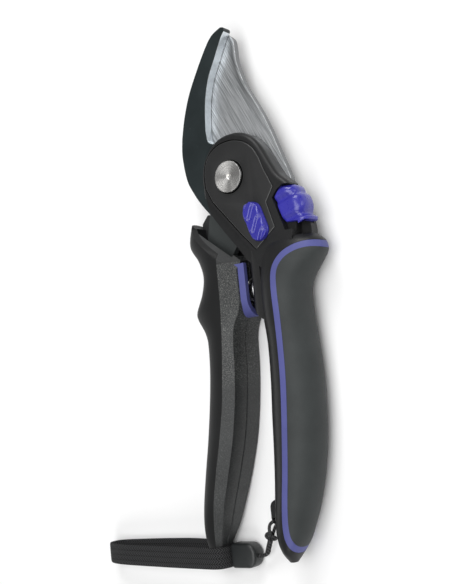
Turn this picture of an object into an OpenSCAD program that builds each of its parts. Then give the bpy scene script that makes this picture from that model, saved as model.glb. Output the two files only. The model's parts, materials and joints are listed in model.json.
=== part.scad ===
// Bypass pruner: a fixed hook on one handle, a moving blade on the other, one pivot bolt.
// It lies on its back: +X runs to the tip, +Z is the front, the pivot axis is X = Y = 0,
// and Z = 0 is the surface that it lies on.

/* [Lengths] */
// Reach of the hook's tip ahead of the pivot
jaw_reach = 63; // [54:1:76]
// Right handle's end behind the pivot
right_length = 152.5; // [126:0.5:180]
// Left handle's end behind the pivot
left_length = 150; // [126:0.5:180]
// Depth of the right handle, front to back
right_depth = 20; // [17:0.5:24]
// Depth of the left handle, front to back
left_depth = 19; // [17:0.5:20]

/* [Blades] */
// Height of the blade's flat cutting face
face_z = 10.2; // [9.5:0.1:11]
// Thickness of the cutting blade
blade_t = 3; // [2:0.1:3.6]
// Thickness of the hook
hook_t = 4.3; // [3.5:0.1:5.2]
// Gap between the blade and the pieces that it slides on
slide_gap = 0.1; // [0.05:0.05:0.2]

/* [Head] */
// Thickness of the head in front of the hook
shell_t = 2.9; // [2.6:0.1:3.6]
// Thickness of the cover plate let into the head
plate_t = 1.6; // [1.2:0.1:1.8]
// Groove left around the cover plate
plate_gap = 0.3; // [0.2:0.05:0.5]

/* [Pivot] */
// Radius of the pivot bolt's shank
bolt_r = 4; // [3.2:0.1:4.8]
// Radius of the pivot bolt's head
bolt_head_r = 6.7; // [5.8:0.1:8]
// How far the bolt's head stands out of the head
bolt_proud = 1; // [0.5:0.1:1.6]
// Wall of the bush around the bolt
bush_wall = 1.4; // [1:0.1:2]
// Radial running clearance of the pivot
pivot_fit = 0.05; // [0.02:0.01:0.1]
// Radius of the flat nut at the back
nut_r = 8; // [7:0.5:9.5]
// Thickness of the washer behind the blade
washer_t = 1.4; // [1:0.1:2]

/* [Spring] */
// Outer radius of the spring
spring_r = 4.8; // [4:0.1:5.4]
// Wire radius of the spring
wire_r = 0.7; // [0.5:0.05:0.9]
// Working turns of the spring
spring_turns = 6; // [4:1:8]
// Wall of the spring's cup
cup_wall = 2.2; // [1.5:0.1:2.6]

/* [Controls] */
// Travel of the thumb lock
lock_travel = 3; // [2:0.5:4]
// Travel of the opening selector
selector_travel = 4; // [3:0.5:5]
// Clearance around sliding pieces
slip = 0.3; // [0.2:0.05:0.4]

/* [Hidden] */
eps = 0.01;

black = [0.13, 0.14, 0.15];
charcoal = [0.22, 0.23, 0.24];
deep_violet = [0.2, 0.2, 0.58];
soft_violet = [0.36, 0.35, 0.66];
steel = [0.62, 0.63, 0.64];

// Heights of the stack, from the blade outwards
blade_z = face_z - blade_t;
hook_z = face_z + slide_gap;
shell_z = hook_z + hook_t;
head_z = shell_z + shell_t;
plate_z = head_z - plate_t;
washer_z = blade_z - slide_gap - washer_t;
bush_r = bolt_r + bush_wall;
right_mid = right_depth / 2;
left_mid = left_depth / 2;

// ---- curves and lofts ----
function cubic(a, b, c, d, t) = 0.5 * (2 * b + (c - a) * t
    + (2 * a - 5 * b + 4 * c - d) * t * t + (3 * b - a - 3 * c + d) * t * t * t);
// A smooth curve through points, with n steps to a stretch
function curve(p, n = 4) = let (last = len(p) - 1) [
    for (i = [0:last - 1], k = [0:n - 1])
        cubic(p[max(i - 1, 0)], p[i], p[i + 1], p[min(i + 2, last)], k / n),
    p[last]];
function backwards(p) = [for (i = [len(p) - 1:-1:0]) p[i]];
function unit(v) = v / norm(v);
// A line moved sideways by d, to its left
function beside(p, d) = let (last = len(p) - 1) [for (i = [0:last])
    let (v = unit(p[min(i + 1, last)] - p[max(i - 1, 0)])) p[i] + d * [-v[1], v[0]]];
function arc(c, r, a0, a1, n = 8) = [for (k = [0:n])
    let (a = a0 + (a1 - a0) * k / n) c + r * [cos(a), sin(a)]];
// Wall and end faces of a loft through rings that have the same number of points
function loft_faces(rings) = let (n = len(rings[0]), last = (len(rings) - 1) * n) concat(
    [for (i = [0:len(rings) - 2], k = [0:n - 1]) let (m = (k + 1) % n)
        each [[i * n + k, i * n + m, (i + 1) * n + k],
            [i * n + m, (i + 1) * n + m, (i + 1) * n + k]]],
    [for (k = [0:n - 1]) [(k + 1) % n, k, last + n]],
    [for (k = [0:n - 1]) [last + k, last + (k + 1) % n, last + n + 1]]);
// Rings and the middle of each end face; the middle of each ring is seen from all its points
module loft(rings) {
    last = rings[len(rings) - 1];
    polyhedron([for (r = rings) each r, mean(rings[0]), mean(last)], loft_faces(rings));
}
function mean(p) = [for (v = p) 1] * p / len(p);
// A loft whose rings are an outer line followed by an inner line that runs back
module shell_loft(rings) {
    n = len(rings[0]);
    half = n / 2;
    last = (len(rings) - 1) * n;
    walls = [for (f = loft_faces(rings)) if (max(f) < last + n) f];
    ends = [for (j = [0:half - 2]) let (a = j, b = j + 1, c = n - 2 - j, d = n - 1 - j)
        each [[c, b, a], [d, c, a], [last + a, last + b, last + c], [last + a, last + c, last + d]]];
    polyhedron([for (r = rings) each r], concat(walls, ends));
}
function power(v, e) = sign(v) * pow(abs(v), e);

// ---- right handle ----
grip_start = 28.5;
// Place along the handle (0 to 1), inner edge, outer edge, half depth less than full
right_form = [
    [0, -7.4, -32.8, 3.2], [0.02, -7, -35.8, 1.8], [0.05, -6.8, -36.6, 0.7],
    [0.078, -6.8, -34.2, 0.2], [0.107, -6.8, -30.8, 0], [0.137, -6.8, -28, 0],
    [0.171, -6.8, -26.5, 0], [0.234, -6.9, -26.4, 0], [0.322, -7.6, -27.2, 0],
    [0.43, -7.1, -27.8, 0], [0.547, -5.9, -27.2, 0], [0.654, -5, -25.7, 0],
    [0.751, -3.9, -23.1, 0.3], [0.83, -2.7, -20, 0.8], [0.89, -2, -16.8, 1.6],
    [0.935, -2.4, -14, 2.6], [0.97, -3.6, -10.9, 4.6], [1, -5.4, -8.2, 8.2]];
right_sides = 24;
core_share = 0.74;
function right_x(s) = -grip_start - s * (right_length - grip_start);
function right_ring(f, share) = let (c = (f[1] + f[2]) / 2, w = (f[1] - f[2]) / 2 * share,
    d = (right_mid - f[3]) * share) [for (k = [0:right_sides - 1])
        let (a = 360 * k / right_sides)
            [right_x(f[0]), c + w * power(cos(a), 0.92), right_mid + d * power(sin(a), 0.92)]];
module right_body(share = 1, skip = 0) {
    loft([for (i = [skip:len(right_form) - 1 - skip]) right_ring(right_form[i], share)]);
}
// Middle of the accent line, seen from the front: place along the handle, across
accent_path = [[0.049, -40], [0.037, -36], [0.035, -31], [0.044, -26], [0.063, -21.5],
    [0.098, -18.2], [0.156, -17.2], [0.254, -17.4], [0.342, -17.4], [0.44, -17], [0.566, -15.6],
    [0.703, -13.6], [0.82, -11.2], [0.888, -10], [0.93, -10.2], [0.965, -12], [1, -17]];
accent_w = 2.6;
accent_line = curve([for (p = accent_path) [right_x(p[0]), p[1]]], 3);
accent_inner = beside(accent_line, -accent_w / 2);
accent_outer = beside(accent_line, accent_w / 2);
function grip_side(line) = concat([[line[0][0], -60]], line, [[line[len(line) - 1][0], -60]]);
module upright(outline, low = -5, high = 30) {
    translate([0, 0, low])
        linear_extrude(high - low)
            polygon(outline);
}

// Head, from its front round the blade side to the handle, then back along the inner edge
head_edge = curve([[-2.4, 14], [3.2, 14], [8.4, 12.6], [12.6, 9.8], [15.7, 6.3], [17.2, 2.4],
    [17.6, -1.8], [17.2, -5.6], [16, -9.1], [13.8, -12.4], [10.2, -15.4], [5.6, -18],
    [0, -20.8], [-3.6, -23], [-6.4, -26]], 3);
head_heel = [[-8, -28], [-16, -28.6], [-24, -30.6], [-30, -31], [-40, -27], [-42, -12]];
ledge = [[-38, -7.5], [-34.5, -4.2], [-29.5, -0.6], [-21.5, 5.6], [-13, 11.6]];
ledge_top = [[-37, -9.2], [-31.8, -7.4], [-24.8, -2.2], [-16.4, 4.4], [-9.2, 10.4]];
// Steps of the head's rounded rim: how far in, from which height, to which height
rim_steps = [[0, hook_z, head_z - 2.6], [0.5, head_z - 2.7, head_z - 1], [1.6, head_z - 1.1, head_z]];
// Cover plate, set in from the head's edge on the blade side
plate_outline = concat(curve([[-2.6, 12], [3, 12.2], [7.4, 11.2], [10.4, 9.4], [12.4, 7],
    [14, 3.4], [14.4, -1.9], [13.4, -6.4], [11.6, -9.8], [8.8, -12.8]], 3),
    [[4.9, -14.9], [-0.5, -16.8], [-4.9, -18.7], [-8.2, -20.2], [-13.6, -16.4], [-24, -19.2],
    [-31.2, -9.6], [-24.2, -3.4], [-16, 3.2], [-8.6, 9.2]]);
rivet_places = [[9, 2], [2, -10.5]];
rivet_r = 1.5;

// Thumb lock: its own directions along and across the travel
lock_corner = [-8.8, -18.4];
lock_turn = 198;
lock_wide = 11.2;
lock_wrap = 7.6;
lock_skin = 2.4;
lock_low = 8;
lock_top = head_z - 0.6;
// Edge of the slider towards the pivot, and its edge towards the handle's end
lock_near = [[4, 0], [2.2, 3], [1.6, 6], [2.4, 8.2], [4.2, 9.8], [7.6, 11.2], [10.6, 11.2]];
lock_far = [[15.2, 10], [17.6, 10.6], [18.6, 9.6], [17.6, 6.6], [16.2, 3.6], [14.8, 0]];
rail_from = 5;
rail_to = 13;
module lock_place() {
    translate(lock_corner)
        rotate([0, 0, lock_turn])
            children();
}
// The lock's section swept along its travel, grown by a clearance
module lock_sweep(travel, grow) {
    near = [for (p = lock_near) [p[0] - grow, p[1] - (p[1] < 1 ? grow : 0)]];
    far = [for (p = lock_far) [p[0] + travel + grow, p[1] - (p[1] < 1 ? grow : 0)]];
    lock_place()
        intersection() {
            union() {
                upright(concat(near, [[7.6 - grow, 30], [18.6 + travel + grow, 30]],
                    [for (k = [2:len(far) - 1]) far[k]]));
                translate([rail_from - grow, -1.2 - grow, 0])
                    cube([rail_to - rail_from + travel + 2 * grow, 2.4 + 2 * grow, 30]);
            }
            union() {
                translate([-10, -grow, lock_top - lock_skin - grow])
                    cube([60, 50, 10]);
                translate([-10, lock_wrap - grow, lock_low - grow])
                    cube([60, 50, 30]);
                translate([-10, -1.2 - grow, shell_z - 1.2 - grow])
                    cube([60, 2.4 + 2 * grow, 1.2 + 2 * grow]);
                translate([4 - grow, lock_wrap - 1 - grow, pawl_low - grow])
                    cube([5.4 + travel + 2 * grow, 3, pawl_high - pawl_low + 2 * grow]);
            }
        }
}

// Opening selector
selector_at = [-20.4, -11];
selector_turn = 198;
selector_long = 16.4;
selector_wide = 8.8;
selector_proud = 2;
stem_long = 7;
stem_wide = 3;
slide_t = 0.9;
module selector_place() {
    translate(selector_at)
        rotate([0, 0, selector_turn])
            children();
}
module bar(long, wide, tall) {
    linear_extrude(tall)
        union() {
            square([long - wide, wide], center = true);
            for (side = [-1, 1])
                translate([side * (long - wide) / 2, 0])
                    circle(d = wide, $fn = 48);
        }
}

// Spring's place, pockets and cup
spring_x = -45.5;
spring_floor_right = -15;
spring_floor_left = 6.6;
post_r = spring_r - 2 * wire_r - 0.6;
pocket_r = spring_r + 0.8;
cup_inner = spring_r + 0.5;
cup_outer = cup_inner + cup_wall;
cup_top_x = -35.2;
cup_round_x = spring_x - 3.4;
cup_rim_y = -2.2;
cup_floor = 1.4;
module along_y(x, z, from, to) {
    translate([x, to, z])
        rotate([90, 0, 0])
            linear_extrude(to - from)
                children();
}
module cup_shape(r, top) {
    translate([cup_round_x, 0])
        circle(r = r, $fn = 64);
    translate([cup_round_x, -r])
        square([top - cup_round_x, 2 * r]);
}

// Lanyard eye on the inner side of the right handle
eye_x = right_x(0.847);
eye_y = -2.3;
eye_r = 3;
eye_hole_r = 1.2;
eye_hole_at = [-3, 1.1];
eye_long = 10;
eye_t = 5;

module head_block() {
    difference() {
        union() {
            for (step = rim_steps)
                upright(concat(beside(head_edge, -step[0]), head_heel,
                    step[0] > 1 ? ledge_top : ledge), step[1], step[2]);
        }
        upright(hook_outline, hook_z - 1, shell_z);
        upright(beside_all(plate_outline, plate_gap), plate_z, head_z + 1);
        cylinder(r = bolt_r + 0.1, h = head_z + 1, $fn = 96);
        for (p = rivet_places)
            translate([p[0], p[1], hook_z])
                cylinder(r = rivet_r, h = shell_t + hook_t, $fn = 32);
        lock_sweep(lock_travel, slip);
        selector_room();
        leaf_room();
    }
}
// An outline grown by d, for an outline that runs clockwise
function beside_all(p, d) = let (n = len(p)) [for (i = [0:n - 1])
    let (a = unit(p[i] - p[(i + n - 1) % n]), b = unit(p[(i + 1) % n] - p[i]), m = unit(a + b),
        q = d / max(0.5, a * m)) p[i] + q * [-m[1], m[0]]];
module selector_room() {
    selector_place()
        translate([-selector_travel / 2, 0, plate_z - slide_t - 0.2])
            bar(stem_long + selector_travel + 5, stem_wide + 3.4, plate_t + slide_t);
}
module leaf_room() {
    lock_place()
        translate([5.5, -4.6, shell_z - 1.2])
            cube([8, 3.6, 1.6]);
}
module right_handle() {
    color(black)
        difference() {
            union() {
                right_body();
                head_block();
                upright(post_outline, post_low, hook_z);
                spring_guard();
                translate([eye_x, eye_y, right_mid])
                    eye_lug();
            }
            difference() {
                upright(grip_side(accent_inner));
                right_body(core_share, 2);
            }
            blade_sweep_room();
            lock_sweep(lock_travel, slip);
            upright(beside_all(plate_outline, plate_gap), plate_z, right_depth);
            along_y(spring_x, left_mid, spring_floor_right, 2)
                difference() {
                    circle(r = pocket_r, $fn = 64);
                    circle(r = post_r, $fn = 48);
                }
            translate([eye_x + eye_hole_at[0], eye_y + eye_hole_at[1], 0])
                cylinder(r = eye_hole_r, h = right_depth, $fn = 32);
        }
}
// Guard on the handle's inner side that the spring comes out of: across, height
guard_section = [[-10, 17.4], [-6.4, 16.6], [-4.6, 15.3], [-3.3, 13], [-2.8, 10], [-3.2, 6.4],
    [-5.4, 3.6], [-10, 2.6]];
guard_plan = [[-28.6, -10], [-29.4, -7.2], [-34, -4.6], [-38, -2.9], [-50, -2.7], [-53.5, -4.2],
    [-57, -6.8], [-59, -10]];
module spring_guard() {
    intersection() {
        upright(guard_plan, 0, right_depth);
        translate([-70, 0, 0])
            rotate([90, 0, 90])
                linear_extrude(50)
                    polygon(guard_section);
    }
}
module eye_lug() {
    translate([0, 0, -eye_t / 2])
        bar(eye_long, 2 * eye_r, eye_t);
}
// Post that joins the head to the handle, under the slider
post_outline = [[-16.4, -25], [-18.4, -29.2], [-21.4, -31], [-27, -31.4], [-34, -30], [-36, -12],
    [-28, -12]];
post_low = 6;
// Room behind the head for the blade's swing
blade_room_r = 26;
module blade_sweep_room() {
    translate([0, 0, blade_z - 0.3])
        cylinder(r = blade_room_r, h = blade_t + 0.3 + slide_gap, $fn = 96);
}
module rubber_grip() {
    color(charcoal)
        difference() {
            intersection() {
                right_body();
                upright(grip_side(accent_outer));
            }
            right_body(core_share, 2);
        }
}
module accent_strip() {
    color(soft_violet)
        difference() {
            intersection() {
                right_body();
                upright(concat(accent_inner, backwards(accent_outer)));
            }
            right_body(core_share, 2);
        }
}

// ---- hook ----
hook_root_end = 16;
function jaw(p) = [for (q = p) [hook_root_end
    + (q[0] - hook_root_end) * (jaw_reach - hook_root_end) / 47, q[1]]];
hook_back = jaw(curve([[62.9, -1.4], [60.9, 3.4], [56.8, 7.3], [48, 13.2], [39, 18.4],
    [29.7, 22], [22, 24]], 4));
hook_side = curve([[22, 24], [14.6, 24.8], [4.3, 23.6], [-2.4, 20.6], [-8, 17], [-13.8, 12.4]], 4);
hook_edge = jaw(concat(curve([[27, 11.1], [33.6, 10.3], [39.8, 8.8], [44.8, 6.9], [49.5, 4.2],
    [54.9, 1.2], [59, -1.2]], 3), arc([61.5, -1.9], 1.15, 225, 385, 6)));
hook_throat = concat([[hook_root_end, 4]], arc([hook_root_end + 3.2, 8], 3.2, 180, 95, 6),
    [[22.5, 11.5]]);
hook_outline = concat(backwards(hook_edge), backwards(hook_throat),
    backwards(arc([0, 0], 12.6, 175, 375, 20)), [[-12.6, 4], [-13.8, 12.4]],
    backwards(hook_side), backwards(hook_back));
module counter_hook() {
    color([0.14, 0.16, 0.16])
        difference() {
            upright(hook_outline, hook_z, shell_z);
            translate([0, 0, hook_z - 1])
                cylinder(r = bush_r, h = hook_t + 2, $fn = 96);
            for (p = rivet_places)
                translate([p[0], p[1], hook_z - 1])
                    cylinder(r = rivet_r, h = hook_t + 2, $fn = 32);
        }
}
module hook_rivets() {
    color(steel)
        for (p = rivet_places)
            translate([p[0], p[1], hook_z])
                cylinder(r = rivet_r, h = plate_z - hook_z, $fn = 32);
}

// ---- cover plate and pivot ----
module cover_plate() {
    color(black)
        difference() {
            upright(plate_outline, plate_z, head_z);
            translate([0, 0, plate_z - 1])
                cylinder(r = bolt_head_r + 0.15, h = plate_t + 2, $fn = 96);
            selector_place()
                translate([-selector_travel / 2, 0, plate_z - 1])
                    bar(stem_long + selector_travel + 2 * slip, stem_wide + 2 * slip, plate_t + 2);
            lock_sweep(lock_travel, slip);
        }
}
bolt_end = 1.2;
dimple_r = 1;
dimple_z = 0.6;
module pivot_bolt() {
    color(steel)
        rotate_extrude($fn = 96)
            polygon([[0, bolt_end], [bolt_r, bolt_end], [bolt_r, plate_z], [bolt_head_r, plate_z],
                [bolt_head_r, head_z + bolt_proud - 0.4], [bolt_head_r - 0.4, head_z + bolt_proud],
                [dimple_r, head_z + bolt_proud - dimple_z], [0, head_z + bolt_proud - 2 * dimple_z]]);
}
module ring(r, hole, low, high) {
    translate([0, 0, low])
        rotate_extrude($fn = 96)
            translate([hole, 0])
                square([r - hole, high - low]);
}
module pivot_bush() {
    color([0.72, 0.6, 0.34])
        ring(bush_r, bolt_r, blade_z - slide_gap, shell_z);
}
module pivot_washer() {
    color(steel)
        ring(nut_r + 1, bolt_r, washer_z, blade_z - slide_gap);
}
spanner_hole_r = 1.2;
module pivot_nut() {
    color(steel)
        difference() {
            cylinder(r = nut_r, h = washer_z, $fn = 96);
            translate([0, 0, bolt_end])
                cylinder(r = bolt_r, h = washer_z, $fn = 96);
            for (side = [-1, 1])
                translate([side * (bolt_r + nut_r) / 2, 0, -1])
                    cylinder(r = spanner_hole_r, h = 3, $fn = 32);
        }
}

// ---- spring ----
spring_low = spring_floor_right + wire_r;
spring_high = spring_floor_left - wire_r;
coil_steps = 12;
coil_count = (spring_turns + 2) * coil_steps;
// Share of the spring's length reached after t turns, with a closed turn at each end
function coil_rise(t) = let (dead = 2 * wire_r, free = spring_high - spring_low - 2 * dead)
    t < 1 ? t * dead
    : t > spring_turns + 1 ? dead + free + (t - spring_turns - 1) * dead
    : dead + free * (t - 1) / spring_turns;
module spring() {
    coil_r = spring_r - wire_r;
    color(steel)
        loft([for (k = [0:coil_count]) let (a = 360 * k / coil_steps,
            y = spring_low + coil_rise(k / coil_steps)) [for (j = [0:7])
            let (r = coil_r + wire_r * cos(45 * j))
                [spring_x + r * cos(a), y - wire_r * sin(45 * j), left_mid + r * sin(a)]]]);
}

// ---- lock ----
leaf_t = 0.4;
module lock_leaf() {
    bow = curve([[6, -4.1], [9.5, -2.3], [13, -4.1]], 4);
    color(steel)
        lock_place()
            upright(concat(bow, backwards(beside(bow, -leaf_t))), shell_z - 1, shell_z);
}
module lock_slider() {
    top = lock_top;
    under = top - lock_skin;
    color(deep_violet)
        lock_place()
            difference() {
                union() {
                    intersection() {
                        upright(concat(lock_near, lock_far));
                        rotate([90, 0, 90])
                            linear_extrude(30)
                                polygon(concat([[-0.1, under], [-0.1, top - 0.7], [0.6, top]],
                                    arc([lock_wide - 4.6, top - 4.6], 4.6, 90, 0),
                                    arc([lock_wide - 1.4, lock_low + 1.4], 1.4, 0, -90, 4),
                                    [[lock_wrap, lock_low], [lock_wrap, under]]));
                    }
                    translate([rail_from, -1.2, shell_z - 1.2])
                        cube([rail_to - rail_from, 2.2, 1.2]);
                    translate([rail_from, 0.1, shell_z - 1.2])
                        cube([rail_to - rail_from, 0.9, 1.5]);
                }
                pawl_shape();
            }
}
pawl_low = 7.8;
pawl_high = 9.8;
module pawl_shape() {
    translate([4, lock_wrap - 1, pawl_low])
        cube([5.4, 3, pawl_high - pawl_low]);
}
module lock_pawl() {
    color(steel)
        lock_place()
            pawl_shape();
}

// ---- selector ----
module selector_button() {
    color(deep_violet)
        selector_place() {
            translate([0, 0, head_z + slide_gap])
                bar(selector_long, selector_wide, selector_proud);
            translate([0, 0, plate_z])
                bar(stem_long, stem_wide, plate_t + slide_gap + eps);
        }
}
module selector_slide() {
    color(steel)
        selector_place()
            translate([0, 0, plate_z - slide_t])
                bar(stem_long + 4, stem_wide + 2.4, slide_t - slide_gap);
}

// ---- cutting blade ----
blade_edge = concat(jaw(curve([[60.3, -2.2], [57.4, 1], [52, 5.9], [44, 10.6], [35, 13.6],
    [26, 14.6]], 4)), [[19, 14.2], [12, 13.4]]);
blade_bevel = concat(jaw(curve([[58.6, -3.2], [55.2, -1.6], [49.6, 2], [42.4, 6.2], [34, 9],
    [26, 10.2]], 4)), [[19, 11.2], [12, 12.6]]);
tang_end_x = -76;
blade_upper = concat(curve([[4, 14], [-5, 14.6], [-13, 17.2], [-21, 19]], 3),
    [[-30, 18.6], [-46, 17.6], [tang_end_x, 17.2]]);
blade_lower = concat([[tang_end_x, 11.6], [-60, 10.6], [-46, 9.6]],
    curve([[-33, 9.2], [-25, 3.4], [-18, -3.6], [-12.4, -10.6], [-9, -17.4], [-7.4, -22.6]], 3),
    [[-6.2, -24.3], [-4.5, -24.3], [0, -22.9]]);
blade_back = concat([[4.9, -21.1]], jaw(curve([[15.9, -17.4], [24.4, -14], [32.6, -9.8],
    [39.2, -6.8], [45.6, -4.9], [49.7, -4.2], [54.3, -4.1], [57.4, -3.9]], 3)), jaw([[59.2, -3]]));
blade_outline = concat(blade_edge, blade_upper, blade_lower, blade_back);
// The ground bevel is cut from below, along lines that run on past the tip
blade_land = 0.25;
function bevel_ring(e, b) = let (top = [e[0], e[1], face_z - blade_land], low = [b[0], b[1], blade_z],
    step = 0.4 * (top - low)) [low - step, [e[0] + 1, e[1] + 6, blade_z - 1.5], top + step];
module cutting_blade() {
    n = len(blade_edge);
    color(steel)
        difference() {
            upright(blade_outline, blade_z, face_z);
            loft(concat([bevel_ring(blade_edge[0] + [3, -3.4], blade_bevel[0] + [3.4, -3])],
                [for (k = [0:n - 1]) bevel_ring(blade_edge[k], blade_bevel[k])]));
            translate([0, 0, blade_z - 1])
                cylinder(r = bush_r + pivot_fit, h = blade_t + 2, $fn = 96);
            tang_holes(tang_pin_r);
        }
}
tang_pin_r = 2;
tang_pin_places = [[-46, 13.6], [-66, 14.2]];
module tang_holes(r) {
    for (p = tang_pin_places)
        translate([p[0], p[1], left_mid - 6.5])
            cylinder(r = r, h = 13, $fn = 48);
}
module tang_pins() {
    color(steel)
        tang_holes(tang_pin_r);
}

// ---- left handle ----
left_start = 14;
skin_t = 2;
skin_gap = 0.15;
// Place along the handle, inner edge, ridge, outer edge, half depth less than full, drop
left_form = [
    [0, 0.6, 9.4, 24.8, 0.4, 0], [0.07, 0.6, 9.4, 27.2, 0, 0], [0.125, 0.6, 9.5, 23, 0, 0],
    [0.175, 0.6, 9.6, 21.2, 0, 0], [0.225, 0.6, 9.6, 23, 0, 0], [0.275, 0.8, 9.8, 26.8, 0, 0],
    [0.3, 2, 10, 26.4, 0, 0], [0.32, 3.6, 10.2, 24.8, 0, 0], [0.345, 5, 10.4, 23, 0, 0],
    [0.38, 5.8, 10.8, 22.1, 0, 0], [0.46, 6.4, 12, 22.5, 0, 0], [0.56, 8.1, 13.8, 24.4, 0, 0],
    [0.66, 10.8, 16.8, 26.8, 0, 0], [0.76, 14.9, 20.6, 29.8, 0.3, 0],
    [0.85, 19.2, 24, 32.6, 1.3, 0], [0.91, 22.4, 26.4, 34.6, 2.8, 0.6],
    [0.955, 25.8, 28.6, 35.6, 4.4, 1.6], [0.98, 27.8, 30.2, 35.6, 6, 2.2],
    [1, 30.4, 31.6, 34.4, 8.1, 2.4]];
arc_steps = 12;
function left_x(s) = -left_start - s * (left_length - left_start);
function left_arc(f, skin) = let (d = left_mid - f[4], w = f[3] - f[2], t = min(skin, 0.2 * skin * min(d, w)))
    [for (j = [0:arc_steps]) let (a = -90 + 180 * j / arc_steps)
        [left_x(f[0]), f[2] + (w - t) * power(cos(a), 0.85), left_mid - f[5] + (d - t) * power(sin(a), 0.85)]];
function left_ring(f) = let (x = left_x(f[0]), z = left_mid - f[5], d = left_mid - f[4],
    g = min(0.5, 0.25 * (f[2] - f[1]))) concat(left_arc(f, skin_t + skin_gap),
    [[x, f[2], z + d], [x, f[1], z + 0.8 * d], [x, f[1], z + g], [x, f[1] + g, z],
        [x, f[1], z - g], [x, f[1], z - 0.92 * d], [x, f[2], z - d]]);
rim_from_pivot = 26.7;
rim_turn = -38.5;
module past_rim() {
    rotate([0, 0, rim_turn])
        translate([-rim_from_pivot, -60, -20])
            cube([90, 120, 60]);
}
funnel = [[-8, 21.4], [-18, 22], [-28, 20.6], [-41, 17.6], [-41, 10.4], [-35, 9.2], [-32.6, 4],
    [-20, 4]];
tongue = [[-44, 17.4], [-36, 19], [-24, 24], [-14, 23.6], [-10.6, 20.4], [-12.4, 13.6], [-20, 9.6],
    [-36, 8.4], [-44, 9]];
module left_handle() {
    color([0.2, 0.21, 0.21])
        difference() {
            union() {
                difference() {
                    loft([for (f = left_form) left_ring(f)]);
                    past_rim();
                    upright(funnel, 3.6, left_depth - 3.6);
                }
                upright(tongue, 3, blade_z);
            }
            upright(blade_outline, blade_z, face_z);
            along_y(0, left_mid, -4, spring_floor_left + cup_floor)
                cup_shape(cup_outer, cup_top_x);
            tang_holes(tang_pin_r);
        }
}
module left_grip() {
    color(charcoal)
        difference() {
            shell_loft([for (f = left_form) concat(left_arc(f, 0), backwards(left_arc(f, skin_t)))]);
            past_rim();
            upright(tongue, 3, blade_z);
        }
}
module spring_cup() {
    color(soft_violet) {
        difference() {
            along_y(0, left_mid, cup_rim_y, spring_floor_left + cup_floor)
                cup_shape(cup_outer, cup_top_x);
            along_y(0, left_mid, cup_rim_y - 1, spring_floor_left)
                cup_shape(cup_inner, cup_top_x + 1);
        }
        along_y(spring_x, left_mid, 1.6, spring_floor_left + eps)
            circle(r = post_r, $fn = 48);
    }
}

// ---- wrist strap ----
strap_w = 8.6;
strap_t = 1.3;
// Middle of the webbing, from the cap out along the upper run and back along the lower one
strap_route = [[-151.2, 24.2, 4.9], [-151.2, 26.1, 5.5], [-151.2, 26.5, 8.6], [-151.2, 28, 11.6],
    [-151.2, 31.2, 12.6], [-151.1, 36, 12.7], [-151, 44, 12.3], [-150.9, 54, 11.6], [-150.7, 64, 11], [-150.5, 74, 10.4],
    [-150.3, 83, 9.6], [-150.1, 90, 8], [-149.9, 94, 5.4], [-149.7, 93.6, 2.6], [-149.5, 90, 1],
    [-149.3, 82, 0.8], [-149.1, 72, 0.8], [-149, 62, 0.8], [-149, 52, 0.8], [-149.3, 44, 0.8],
    [-149.9, 36, 0.8], [-150.6, 30, 1], [-151.1, 27.2, 1.8], [-151.2, 24.6, 2.1]];
cord_d = 1.3;
// Middle of the lanyard cord: out of the cap, through the eye and back to the cap
cord_route = [[-151.4, 16, 2.8], [-151.4, 13.6, 2.8], [-151.3, 11.6, 2.8], [-150.2, 9.9, 3],
    [-148.4, 8.9, 3.4], [-146.2, 7.6, 4], [-144.4, 6.2, 4.8], [-142, 4.8, 5.6], [-139.4, 3, 6],
    [-137.4, 0.6, 5.8], [-136.6, -0.9, 6.8], [-136.5, -1.2, 8.4], [-136.5, -1.2, 10.4],
    [-136.6, -0.9, 12.6], [-137.6, 0.4, 13.3], [-139.3, 2, 12], [-141.2, 3.6, 9.8],
    [-143, 5.1, 7.9], [-144.6, 6.4, 6.6], [-146.2, 7.6, 5.6], [-148.4, 8.9, 5],
    [-150.2, 9.9, 4.6], [-151.3, 11.6, 4.3], [-151.4, 13.6, 4.3], [-151.4, 16, 4.3]];
knot_at = [-143.8, 5.8, 6.2];
knot_r = 2.2;
cap_low = [-156.1, 14, 0];
cap_high = [-146.1, 26.4, 7];
cap_corner = 4.4;
// Direction of a route at point i
function ahead(p, i) = unit(p[min(i + 1, len(p) - 1)] - p[max(i - 1, 0)]);
function square_to(v, t) = unit(v - (v * t) * t);
// A band or a round tube swept along a route, with sides points to a ring
function sweep(route, wide, thick, sides, across) = [for (i = [0:len(route) - 1])
    let (t = ahead(route, i), w = square_to(across, t), u = cross(t, w)) [for (k = [0:sides - 1])
        let (a = -360 * (k + 0.5) / sides)
            route[i] + w * wide / 2 * power(cos(a), wide > 2 * thick ? 0.3 : 1)
                + u * thick / 2 * power(sin(a), wide > 2 * thick ? 0.6 : 1)]];
module strap_webbing() {
    color(black)
        loft(sweep(curve(strap_route, 2), strap_w, strap_t, 8, [1, 0, 0]));
}
module lanyard_cord() {
    color(black)
        loft(sweep(curve(cord_route, 2), cord_d, cord_d, 8, [0.3, 0.2, 1]));
}
module cord_knot() {
    color(black)
        translate(knot_at)
            sphere(r = knot_r, $fn = 32);
}
module strap_cap() {
    w = cap_high[0] - cap_low[0];
    color(charcoal)
        intersection() {
            translate(cap_low)
                cube(cap_high - cap_low);
            union() {
                translate([cap_low[0], cap_low[1] + cap_corner, 0])
                    cube([w, 40, 20]);
                translate([cap_low[0] + cap_corner, cap_low[1], 0])
                    cube([w - 2 * cap_corner, 40, 20]);
                for (x = [cap_low[0] + cap_corner, cap_high[0] - cap_corner])
                    translate([x, cap_low[1] + cap_corner, 0])
                        cylinder(r = cap_corner, h = 20, $fn = 48);
            }
        }
}

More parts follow.
